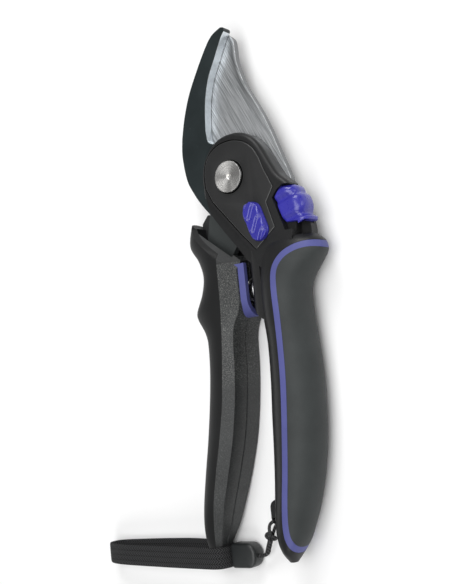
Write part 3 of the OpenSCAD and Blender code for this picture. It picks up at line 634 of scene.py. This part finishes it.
def carved(bm, *tools, how="DIFFERENCE"):
    """The shape with the tools cut away from it, or only what lies inside them."""
    def loose(shape):
        mesh = bpy.data.meshes.new("carving")
        shape.to_mesh(mesh)
        shape.free()
        obj = bpy.data.objects.new("carving", mesh)
        bpy.context.collection.objects.link(obj)
        return obj

    body, tools = loose(bm), [loose(t) for t in tools]
    for tool in tools:
        mod = body.modifiers.new("cut", "BOOLEAN")
        mod.operation, mod.object, mod.solver = how, tool, "EXACT"
    done = bmesh.new()
    done.from_object(body, bpy.context.evaluated_depsgraph_get())
    for obj in (body, *tools):
        bpy.data.objects.remove(obj)
    bmesh.ops.remove_doubles(done, verts=done.verts, dist=0.002 * MM)
    bmesh.ops.dissolve_limit(done, angle_limit=math.radians(0.5), verts=done.verts, edges=done.edges)
    return done


def softened(bm, width, segments, chosen):
    """Rounds the edges that chosen(edge) picks."""
    bmesh.ops.bevel(bm, geom=[e for e in bm.edges if chosen(e)], offset=width * MM, offset_type="OFFSET",
                    affect="EDGES", segments=segments, profile=0.5, material=-1, clamp_overlap=True)
    return bm


def beside(points, d, closed=False):
    """A line moved a distance to its left."""
    n, rows = len(points), []
    for i, p in enumerate(points):
        a = Vector(points[i - 1 if i or closed else 0][:2])
        b = Vector(points[(i + 1) % n if closed else min(i + 1, n - 1)][:2])
        u, w = (Vector(p[:2]) - a), (b - Vector(p[:2]))
        t = (u.normalized() + w.normalized()).normalized()
        share = max(0.5, t.dot((u if u.length else w).normalized()))
        rows.append((p[0] - t.y * d / share, p[1] + t.x * d / share))
    return rows


# ---- head of the right half ----
HOOK_Z, SHELL_Z, PLATE_Z, HEAD_Z = 10.3, 14.6, 15.9, 17.5
HEAD_EDGE = [
    (-2.4, 14), (3.2, 14), (8.4, 12.6), (12.6, 9.8), (15.7, 6.3), (17.2, 2.4), (17.6, -1.8), (17.2, -5.6),
    (16, -9.1), (13.8, -12.4), (10.2, -15.4), (5.6, -18), (0, -20.8), (-3.6, -23), (-6.4, -26)]
HEAD_HEEL = [(-8, -27.5), (-16, -27), (-24, -27), (-34, -26), (-42, -20), (-42, -12)]
LEDGE = [(-38, -7.5), (-34.5, -4.2), (-29.5, -0.6), (-21.5, 5.6), (-13, 11.6)]
LEDGE_TOP = [(-42, -14), (-37, -9.2), (-31.8, -7.4), (-24.8, -2.2), (-16.4, 4.4), (-9.2, 10.4), (-4, 15)]
PLATE_EDGE = [
    (-2.6, 12), (3, 12.2), (7.4, 11.2), (10.4, 9.4), (12.4, 7), (14, 3.4), (14.4, -1.9), (13.4, -6.4),
    (11.6, -9.8), (8.8, -12.8)]
PLATE_BACK = [(4.9, -14.9), (-0.5, -16.8), (-4.9, -18.7), (-8.2, -20.2), (-13.6, -16.4), (-24, -19.2),
              (-31.2, -9.6), (-24.2, -3.4), (-16, 3.2), (-8.6, 9.2)]
LOCK_CORNER, LOCK_TURN, LOCK_TRAVEL = (-8.8, -18.4), 198, 3.0
LOCK_NEAR = [(4, 0), (2.2, 3), (1.6, 6), (2.4, 8.2), (4.2, 9.8), (7.6, 11.2), (10.6, 11.2)]
LOCK_FAR = [(15.2, 10), (17.6, 10.6), (18.6, 9.6), (17.6, 6.6), (16.2, 3.6), (14.8, 0)]
LOCK_WIDE, LOCK_WRAP, LOCK_LOW, LOCK_TOP, LOCK_SKIN = 11.2, 7.6, 8.0, 16.9, 2.4


def lock_room():
    """The space that the slider needs for its travel."""
    slip = 0.3
    near = [(u - slip, v - (slip if v < 1 else 0)) for u, v in LOCK_NEAR]
    far = [(u + LOCK_TRAVEL + slip, v - (slip if v < 1 else 0)) for u, v in LOCK_FAR]
    plan = near + [(7.3, 30), (18.6 + LOCK_TRAVEL + slip, 30)] + far[2:]
    top = plate(plan, LOCK_TOP - LOCK_SKIN - slip, 30)
    side = carved(plate(plan, 0, 30), plate([(-10, LOCK_WRAP - slip), (50, LOCK_WRAP - slip), (50, 40), (-10, 40)],
                                            LOCK_LOW - slip, 31), how="INTERSECT")
    pawl = plate([(3.7, 6.2), (12.8, 6.2), (12.8, 10), (3.7, 10)], 7.4, 10.2)
    return [set_down(bm, LOCK_CORNER, LOCK_TURN) for bm in (top, side, pawl)]


def head():
    outline = through(HEAD_EDGE, 6) + HEAD_HEEL + LEDGE
    block = plate(outline, HOOK_Z, HEAD_Z)
    rim = len(HEAD_EDGE) * 6 - 5
    turns = [Vector((x, y)) * MM for x, y in outline[:rim]]

    def on_rim(edge):
        mid = (edge.verts[0].co + edge.verts[1].co) / 2
        flat = all(v.co.z > (HEAD_Z - 0.01) * MM for v in edge.verts)
        return flat and min((mid.xy - t).length for t in turns) < 1.2 * MM

    softened(block, 3.0, 8, on_rim)
    step = plate(LEDGE_TOP + [(-20, 20), (-60, 0), (-60, -14)], 16.5, 30)
    pocket = plate(beside(through(PLATE_EDGE, 6) + PLATE_BACK, 0.3, closed=True), PLATE_Z, 30)
    return carved(block, step, pocket, *lock_room())


rounded(piece("head_shell", head(), [], BLACK, sharp=30, body="right_half"), 0.3, 2, 40)
POST = [(-16.4, -25), (-18.4, -29.2), (-21.4, -31), (-27, -31.4), (-34, -30), (-36, -12), (-28, -12)]
rounded(piece("head_post", carved(plate(POST, 6, 10.4), *lock_room()), [], BLACK, sharp=30, body="right_half"), 0.8, 2, 25)


# ---- guard round the spring ----
GUARD_SECTION = [(-10, 17.4), (-6.4, 16.6), (-4.6, 15.3), (-3.3, 13), (-2.8, 10), (-3.2, 6.4), (-5.4, 3.6), (-10, 2.6)]
GUARD_PLAN = [(-28.6, -10), (-29.4, -7.2), (-34, -4.6), (-38, -2.9), (-50, -2.7), (-53.5, -4.2), (-57, -6.8), (-59, -10)]


def spring_guard():
    across = stood(plate([p[:2] for p in through(GUARD_SECTION, 4)], -70, -20), ((0, 1, 0), (0, 0, 1), (1, 0, 0)))
    mouth = [(5.6 * math.cos(a), 5.6 * math.sin(a)) for a in (2 * math.pi * k / 48 for k in range(48))]
    bore = stood(plate(mouth, -15, 2), ((1, 0, 0), (0, 0, 1), (0, 1, 0)))
    bmesh.ops.translate(bore, vec=(-45.5 * MM, 0, 9.5 * MM), verts=bore.verts)
    shape = carved(plate([p[:2] for p in through(GUARD_PLAN, 4)], 0, 20), across, how="INTERSECT")
    return carved(shape, bore)


rounded(piece("spring_guard", spring_guard(), [], BLACK, sharp=35, body="right_half"), 0.35, 2, 40)

# ---- lanyard eye ----
eye = carved(softened(plate(bar_outline(10, 6), 7.5, 12.5), 1.2, 4, lambda e: abs(e.verts[0].co.z - e.verts[1].co.z) < 1e-6),
             set_down(plate(bar_outline(2.4, 2.4 - 1e-3), 0, 20), (-3, 1.1)))
piece("lanyard_eye_lug", set_down(eye, (-133.5, -2.3)), [], BLACK, sharp=40, body="right_half")

# ---- cover plate and pivot ----
rounded(piece("cover_plate_flat", of_node("cover_plate"), ["cover_plate"], MATTE), 0.3, 2, 40, PLATE_EDGE_HIGHLIGHT)
BOLT_R, BOLT_HEAD_R, BOLT_TOP = 4.0, 6.7, 18.5


def turned(profile, steps=96):
    """A profile of radius and height in millimetres, turned about the pivot."""
    bm = bmesh.new()
    verts = [bm.verts.new((r * MM, 0, z * MM)) for r, z in profile]
    edges = [bm.edges.new(pair) for pair in zip(verts, verts[1:])]
    bmesh.ops.spin(bm, geom=verts + edges, cent=(0, 0, 0), axis=(0, 0, 1), angle=2 * math.pi, steps=steps, use_merge=True)
    bmesh.ops.remove_doubles(bm, verts=bm.verts, dist=0.001 * MM)
    bmesh.ops.recalc_face_normals(bm, faces=bm.faces)
    return bm


rounded(piece("pivot_bolt_turned", turned([
    (0, 1.2), (BOLT_R, 1.2), (BOLT_R, PLATE_Z), (BOLT_HEAD_R, PLATE_Z), (BOLT_HEAD_R, BOLT_TOP - 0.5),
    (BOLT_HEAD_R - 0.4, BOLT_TOP), (1.1, 17.7), (0.85, 17.1), (0, 16.9)]),
    ["pivot_bolt"], TURNED, sharp=20), 0.12, 2, 20)

# ---- counter hook and blade ----
hook = of_node("counter_hook")
hook.faces.ensure_lookup_table()


def on_ground_wall(face):
    """The hook's inner wall, from its throat to the slanted end near the tip."""
    n, c = face.normal, face.calc_center_median() / MM
    return abs(n.z) < 0.3 and n.y < 0.4 and 15.9 < c.x < 60.2 and c.y > -2.2 and c.z > HOOK_Z


for f in hook.faces:
    f.material_index = 1 if on_ground_wall(f) and (f.calc_center_median().xy.length > 15.2 * MM) else 0
rounded(piece("counter_hook_coated", hook, ["counter_hook"], [COATING, GROUND], sharp=30), 0.4, 3, 50, COAT_EDGE_HIGHLIGHT)
rounded(piece("cutting_blade_ground", of_node("cutting_blade"), ["cutting_blade"], BLADE, sharp=20), 0.18, 2, 50)

# ---- thumb lock ----


# Place along the travel, then the slider's inner and outer edge there
LOBES = [
    (1.6, 5.0, 7.2), (2.2, 3.0, 8.3), (3.0, 1.5, 9.2), (4.0, 0.2, 9.8), (5.2, 0, 10.1), (6.4, 0, 10.4), (7.6, 0, 11.0),
    (9.0, 0, 11.2), (10.6, 0, 11.2), (12.4, 0, 10.9), (13.8, 0, 10.3), (15.0, 0.6, 9.9), (16.2, 3.4, 10.1),
    (17.4, 6.0, 10.6), (18.3, 8.4, 10.3)]


def lock_slider():
    """The slider: a skin over the head's edge with thumb waves along its travel."""
    def section(lobe):
        u, low, high = lobe
        rows = [(low, 0.0), (low + 0.3, 0.9)]
        for k in range(1, 14):
            rows.append((low + 0.5 + (high - 4.6 - low - 0.5) * k / 14, 1.0))
        rows = [(v, LOCK_TOP - LOCK_SKIN * (1 - share)) for v, share in rows]
        for k in range(21):
            a = math.radians(90 - 90 * k / 20)
            rows.append((high - 4.6 + 4.6 * math.cos(a), LOCK_TOP - 4.6 + 4.6 * math.sin(a)))
        for k in range(7):
            a = math.radians(-90 * k / 6)
            rows.append((high - 1.3 + 1.3 * math.cos(a), LOCK_LOW + 1.3 + 1.3 * math.sin(a)))
        inner = max(low + 0.2, high - 3.4)
        return rows + [(inner, LOCK_LOW), (inner, LOCK_TOP - LOCK_SKIN)]

    def wave(u, v):
        dip = 0.95 * math.exp(-((u - 6.1 - 0.06 * v) / 1.25) ** 2) + 1.1 * math.exp(-((u - 14.4 - 0.1 * v) / 1.3) ** 2)
        end = 1.0 * math.exp(-((u - 1.4) / 0.7) ** 2) + 0.5 * math.exp(-((u - 18.6) / 0.5) ** 2)
        return dip + end

    lobes = through(LOBES, 8)
    sections = {id(f): section(f) for f in lobes}
    sides = len(sections[id(lobes[0])])

    def place(f, k):
        v, z = sections[id(f)][k]
        if 1 <= k < sides - 3:
            down = wave(f[0], v)
            sunk = min(1.0, max(0.0, (v - (f[2] - 4.6)) / 4.6))
            v, z = v - down * sunk * 0.55, z - down * (1 - sunk * 0.8) * (1 if z > LOCK_TOP - 5 else 0)
        return f[0], v, z

    return set_down(drawn_out(sides, lobes, place), LOCK_CORNER, LOCK_TURN)


rounded(piece("lock_slider_lobed", lock_slider(), ["lock_slider"], VIOLET_GLOSS, sharp=50), 0.35, 3, 50)

# ---- opening selector ----
SELECTOR_AT, SELECTOR_TURN = (-20.4, -11), 198


def selector_button():
    """An oval with a lower rim, and three thumb steps that slant across its top."""
    long, wide = 16.4, 8.8

    def half(u):
        over = max(0.0, abs(u) - (long - wide) / 2)
        return math.sqrt(max(0.0, (wide / 2) ** 2 - over ** 2))

    def height(u, v):
        edge = 1 - min(1.0, max(abs(v) / max(half(u), 0.1), (abs(u) / (long / 2)) ** 6))
        rise = min(1.0, edge * 5) ** 0.5 * 0.75 + (0.5 if edge > 0.16 else 0.5 * max(0.0, edge - 0.08) / 0.08)
        step = ((u + 0.62 * v + 0.7 * math.sin(v * 0.9) + 8.6) / 5.4) % 1.0
        ramp = math.sin(math.pi * step / 1.5) if step < 0.75 else (1 - step) / 0.25
        return 17.9 + rise + 0.95 * ramp * min(1.0, edge * 3)

    stations = [-long / 2 + 0.02 + (long - 0.04) * (1 - math.cos(math.pi * k / 120)) / 2 for k in range(121)]
    sides = 64

    def place(u, k):
        if k >= sides - 2:
            return u, half(u) * (1 if k == sides - 2 else -1), 17.6
        v = -half(u) * math.cos(math.pi * k / (sides - 3))
        return u, v, height(u, v)

    bm = drawn_out(sides, stations, place)
    for _ in range(3):
        bmesh.ops.smooth_vert(bm, verts=[v for v in bm.verts if v.co.z > 18 * MM], factor=0.5, use_axis_z=True)
    return set_down(bm, SELECTOR_AT, SELECTOR_TURN)


piece("selector_button_ridged", selector_button(), ["selector_button"], VIOLET_GLOSS, sharp=40)

# ---- left handle ----
LEFT_START, LEFT_LENGTH, LEFT_MID, SKIN_T = 14.0, 150.0, 9.5, 2.0
LEFT_FORM = [
    (0, 0.6, 9.4, 24.8, 0.4, 0), (0.07, 0.6, 9.4, 27.2, 0, 0), (0.125, 0.6, 9.5, 23, 0, 0),
    (0.175, 0.6, 9.6, 21.2, 0, 0), (0.225, 0.6, 9.6, 23, 0, 0), (0.275, 0.8, 9.8, 26.8, 0, 0),
    (0.3, 2, 10, 26.4, 0, 0), (0.32, 3.6, 10.2, 24.8, 0, 0), (0.345, 5, 10.4, 23, 0, 0),
    (0.38, 5.8, 10.8, 22.1, 0, 0), (0.46, 6.4, 12, 22.5, 0, 0), (0.56, 8.1, 13.8, 24.4, 0, 0),
    (0.66, 10.8, 16.8, 26.8, 0, 0), (0.76, 14.9, 20.6, 29.8, 0.3, 0), (0.85, 19.2, 24, 32.6, 1.3, 0),
    (0.91, 22.4, 26.4, 34.6, 2.8, 0.6), (0.955, 25.8, 28.6, 35.6, 4.4, 1.6), (0.98, 27.8, 30.2, 35.6, 6, 2.2),
    (1, 30.4, 31.6, 34.4, 8.1, 2.4)]
RIM_WAY, RIM_AT = Vector((0.783, -0.622, 0)), -26.7
FUNNEL = [(-8, 21.4), (-18, 22), (-28, 20.6), (-41, 17.6), (-41, 10.4), (-35, 9.2), (-32.6, 4), (-20, 4)]
TONGUE = [(-44, 17.4), (-36, 19), (-24, 24), (-14, 23.6), (-10.6, 20.4), (-12.4, 13.6), (-20, 9.6), (-36, 8.4), (-44, 9)]
CUP_X, CUP_TOP, CUP_OUTER = -48.9, -35.2, 7.5


def left_x(share):
    return -LEFT_START - share * (LEFT_LENGTH - LEFT_START)


def left_arc(f, skin, steps=24):
    deep, wide = LEFT_MID - f[4], f[3] - f[2]
    t, rows = min(skin, 0.4 * min(deep, wide)), []
    for j in range(steps + 1):
        a = math.radians(-90 + 180 * j / steps)
        c, s = math.cos(a), math.sin(a)
        rows.append((left_x(f[0]), f[2] + (wide - t) * abs(c) ** 0.85,
                     LEFT_MID - f[5] + (deep - t) * math.copysign(abs(s) ** 0.85, s)))
    return rows


def left_section(f):
    x, z, d = left_x(f[0]), LEFT_MID - f[5], LEFT_MID - f[4]
    g = min(0.5, 0.25 * (f[2] - f[1]))
    return left_arc(f, SKIN_T) + [
        (x, f[2], z + d), (x, f[1] + 0.4, z + 0.86 * d), (x, f[1], z + 0.76 * d), (x, f[1], z + g), (x, f[1] + g, z),
        (x, f[1], z - g), (x, f[1], z - 0.92 * d), (x, f[2], z - d)]


def cut_at_rim(bm):
    """Cuts the handle off along the slanted rim that meets the head, and chamfers the rim's front."""
    for lean in (0.0, 1.0):
        made = bmesh.ops.bisect_plane(bm, geom=bm.verts[:] + bm.edges[:] + bm.faces[:], dist=1e-7,
                                      plane_co=(RIM_WAY * RIM_AT + Vector((0, 0, 14.6))) * MM,
                                      plane_no=RIM_WAY + Vector((0, 0, lean)), clear_outer=True)
        bmesh.ops.edgeloop_fill(bm, edges=[g for g in made["geom_cut"] if isinstance(g, bmesh.types.BMEdge)])
    bmesh.ops.recalc_face_normals(bm, faces=bm.faces)
    return bm


def cup_room():
    """The space of the spring's cup: a round end that opens towards the pivot."""
    arc = [(CUP_X + CUP_OUTER * math.cos(a), LEFT_MID + CUP_OUTER * math.sin(a))
           for a in (math.radians(90 + 180 * k / 24) for k in range(25))]
    shape = plate(arc + [(CUP_TOP, LEFT_MID - CUP_OUTER), (CUP_TOP, LEFT_MID + CUP_OUTER)], -8, 12)
    return stood(shape, ((1, 0, 0), (0, 0, 1), (0, 1, 0)))


left_stations = through(LEFT_FORM, 6)
left_sections = {id(f): left_section(f) for f in left_stations}
left_shells = {id(f): left_arc(f, 0) + left_arc(f, SKIN_T - 0.02)[::-1] for f in left_stations}
inner = cut_at_rim(drawn_out(33, left_stations, lambda f, k: left_sections[id(f)][k]))
rounded(piece("left_handle_frame", carved(inner, plate(FUNNEL, 3.6, 15.4), cup_room()), ["left_handle"],
              NYLON, sharp=35), 0.22, 2, 30, NYLON_EDGE_HIGHLIGHT)
outer = cut_at_rim(drawn_out(50, left_stations, lambda f, k: left_shells[id(f)][k]))
rounded(piece("left_grip_skin", outer, ["left_grip"], SKIN, sharp=50), 0.25, 2, 50)
rounded(piece("left_handle_tongue", plate(TONGUE, 3, 7.2), [], NYLON, sharp=30, body="blade_half"), 0.4, 2, 40)
rounded(piece("spring_cup_liner", of_node("spring_cup"), ["spring_cup"], VIOLET_LINE, sharp=30), 0.85, 4, 50)

# ---- spring ----
SPRING_X, SPRING_FROM, SPRING_TO, SPRING_R, WIRE, TURNS = -45.5, -15.0, 6.6, 4.8, 1.4, 6


def spring_line():
    """The wire's middle, with a closed turn at each end."""
    low, dead = SPRING_FROM + WIRE / 2, WIRE
    free = SPRING_TO - SPRING_FROM - WIRE - 2 * dead
    rows = []
    for k in range((TURNS + 2) * 24 + 1):
        t, a = k / 24, 2 * math.pi * k / 24
        rise = t * dead if t < 1 else dead + free + (t - TURNS - 1) * dead if t > TURNS + 1 else dead + free * (t - 1) / TURNS
        rows.append((SPRING_X + (SPRING_R - WIRE / 2) * math.cos(a), low + rise, LEFT_MID + (SPRING_R - WIRE / 2) * math.sin(a)))
    return rows


spring = piece("spring_wire", along_route(spring_line(), (0, 1, 0), round_section(WIRE, 10), 10), ["spring"],
               PLAIN_STEEL, ride=False)
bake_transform(spring)

# ---- small pieces that keep their own shape ----
for names, finish in ((("pivot_washer", "pivot_nut", "hook_rivets", "lock_leaf", "tang_pins", "lock_pawl",
                        "selector_slide"), PLAIN_STEEL), (("pivot_bush",), BRONZE)):
    for name in names:
        for place in frame["nodes"][name].material_slots:
            place.material = finish


# ---- floor and light ----
def studio():
    bm = bmesh.new()
    bmesh.ops.create_grid(bm, x_segments=2, y_segments=2, size=3.0)
    mesh = bpy.data.meshes.new("floor")
    bm.to_mesh(mesh)
    bm.free()
    floor = bpy.data.objects.new("floor", mesh)
    bpy.context.collection.objects.link(floor)
    mat, n, shader, place = new_finish("pale floor")
    n.put(shader.inputs["Base Color"], (0.86, 0.86, 0.86, 1))
    n.put(shader.inputs["Roughness"], 0.8)
    mesh.materials.append(mat)
    for name, at, aim, size, power in (
            ("overhead", (-0.1, -0.2, 1.15), (-0.05, 0, 0), 1.0, 10.5),
            ("beyond the jaw", (0.95, -0.12, 0.7), (-0.03, 0, 0), 0.6, 7.0),
            ("beyond the handles", (-1.1, -0.1, 0.8), (-0.05, 0, 0), 0.6, 4.5),
            ("right side", (0.25, -0.9, 0.4), (-0.03, 0, 0), 0.4, 1.2),
            ("left side", (-0.1, 0.95, 0.3), (-0.05, 0, 0), 0.4, 0.8)):
        data = bpy.data.lights.new(name, "AREA")
        data.size = size
        data.energy = power
        light = bpy.data.objects.new(name, data)
        light.location = at
        light.rotation_euler = (Vector(aim) - Vector(at)).to_track_quat("-Z", "Y").to_euler()
        bpy.context.collection.objects.link(light)
    world = bpy.data.worlds.new("soft surroundings")
    world.use_nodes = True
    world.node_tree.nodes["Background"].inputs["Color"].default_value = (1, 1, 1, 1)
    n = Nodes(world.node_tree)
    n.put(world.node_tree.nodes["Background"].inputs["Strength"],
          n.span(n.add("LightPath").outputs["Is Camera Ray"], 0.0, 1.0, 0.2, 0.85))
    bpy.context.scene.world = world
    bpy.context.scene.view_settings.view_transform = "Standard"


studio()
